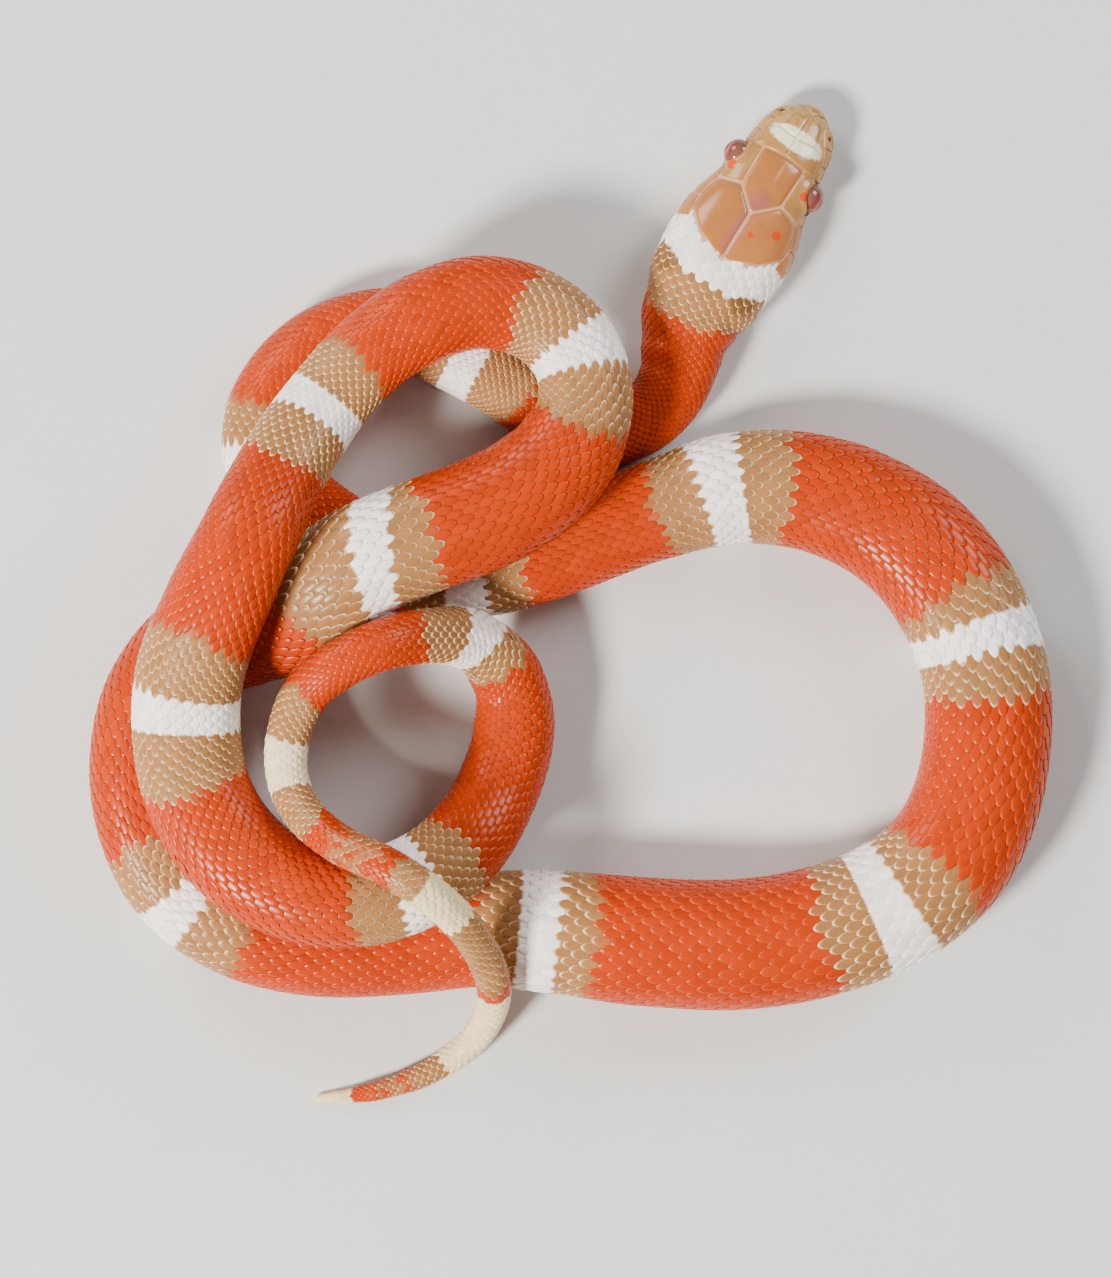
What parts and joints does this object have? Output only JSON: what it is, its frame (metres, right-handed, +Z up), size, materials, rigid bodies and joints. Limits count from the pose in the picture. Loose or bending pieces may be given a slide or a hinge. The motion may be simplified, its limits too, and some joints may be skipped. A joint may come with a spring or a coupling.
{
  "type": "milk snake",
  "caption": "Life-size milk snake lying coiled over itself on the floor, red-orange with white bands edged in tan, mouth closed, in one fixed pose",
  "frame": {"origin": "on the floor under the middle of the animal's bounding box", "axes": "+Z up from the floor, the shortest way through the coil; +Y up the picture, the longest; +X to the picture's right; the head points to +Y and a little to +X"},
  "size_m": [0.0952, 0.0997, 0.0211],
  "materials": {
    "body_scales": "smooth glossy scales, red-orange with white bands edged in tan",
    "head_plates": "smooth glossy head plates, tan with pale seams",
    "eye": "clear wet eye, wine red"
  },
  "bodies": {
    "root": {"head": "head_plates", "lower_jaw": "head_plates", "eye_left": "eye", "eye_right": "eye", "neck": "body_scales", "body_01": "body_scales", "body_02": "body_scales", "body_03": "body_scales", "body_04": "body_scales", "body_05": "body_scales", "body_06": "body_scales", "body_07": "body_scales", "body_08": "body_scales", "body_09": "body_scales", "body_10": "body_scales", "body_11": "body_scales", "body_12": "body_scales", "body_13": "body_scales", "body_14": "body_scales", "body_15": "body_scales", "body_16": "body_scales", "body_17": "body_scales", "tail_01": "body_scales", "tail_02": "body_scales", "tail_03": "body_scales", "tail_04": "body_scales", "tail_05": "body_scales"}
  },
  "joints": []
}
